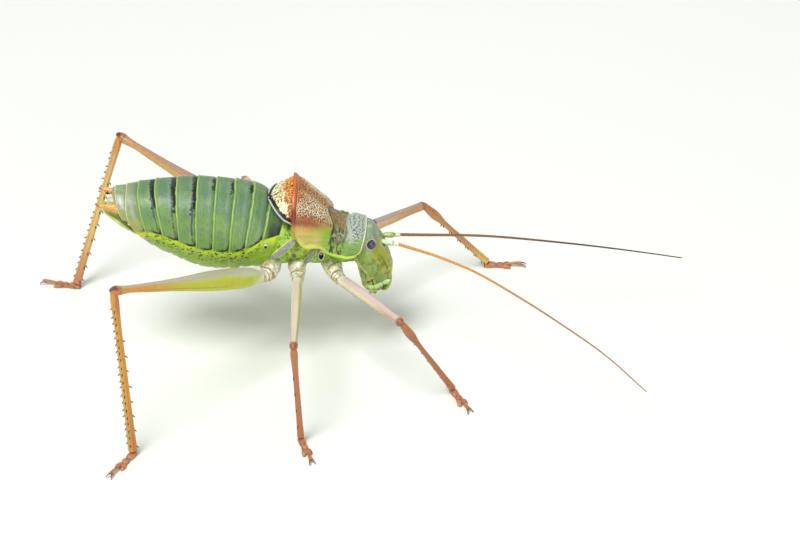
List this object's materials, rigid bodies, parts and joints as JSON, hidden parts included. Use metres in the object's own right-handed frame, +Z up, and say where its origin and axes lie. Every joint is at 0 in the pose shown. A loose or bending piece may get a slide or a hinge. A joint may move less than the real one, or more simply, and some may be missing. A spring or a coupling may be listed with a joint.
{
  "type": "saddle-backed bush cricket",
  "caption": "Still, life-size male bush cricket standing on its feet, with a raised saddle-shaped collar, short wing cases, long feelers and spined shins.",
  "frame": {"origin": "on the floor, under the middle of the box round the whole insect with its feelers and feet", "axes": "+X towards the head, +Y to the animal's left, +Z up"},
  "size_m": [0.0584, 0.035, 0.0178],
  "materials": {
    "abdomen": "satin green cuticle with darker hind edges",
    "thorax": "satin yellow-green cuticle",
    "saddle": "pitted cream and orange cuticle",
    "wing_case": "netted cream cuticle with a black border",
    "head": "smooth green cuticle",
    "eye": "glossy dark violet",
    "mouthparts": "satin yellow-green cuticle",
    "tail": "satin orange-brown cuticle",
    "feeler": "dull orange-brown rings",
    "coxa": "satin cream cuticle",
    "femur": "satin pink and yellow-green cuticle",
    "tibia": "satin orange-red cuticle with dark spine tips",
    "foot": "satin red-brown cuticle"
  },
  "bodies": {
    "root": {"abdomen": "abdomen", "cercus_left": "tail", "cercus_right": "tail", "coxa_fore_left": "coxa", "coxa_fore_right": "coxa", "coxa_hind_left": "coxa", "coxa_hind_right": "coxa", "coxa_mid_left": "coxa", "coxa_mid_right": "coxa", "eye_left": "eye", "eye_right": "eye", "feeler_left": "feeler", "feeler_right": "feeler", "femur_fore_left": "femur", "femur_fore_right": "femur", "femur_hind_left": "femur", "femur_hind_right": "femur", "femur_mid_left": "femur", "femur_mid_right": "femur", "foot_fore_left": "foot", "foot_fore_right": "foot", "foot_hind_left": "foot", "foot_hind_right": "foot", "foot_mid_left": "foot", "foot_mid_right": "foot", "head": "head", "jaw_palp_left": "mouthparts", "jaw_palp_right": "mouthparts", "lip_palp_left": "mouthparts", "lip_palp_right": "mouthparts", "lower_lip": "mouthparts", "mandible_left": "mouthparts", "mandible_right": "mouthparts", "saddle": "saddle", "scape_left": "feeler", "scape_right": "feeler", "tail_plate": "tail", "thorax": "thorax", "tibia_fore_left": "tibia", "tibia_fore_right": "tibia", "tibia_hind_left": "tibia", "tibia_hind_right": "tibia", "tibia_mid_left": "tibia", "tibia_mid_right": "tibia", "underplate": "tail", "upper_lip": "mouthparts", "wing_case_left": "wing_case", "wing_case_right": "wing_case"}
  },
  "joints": []
}
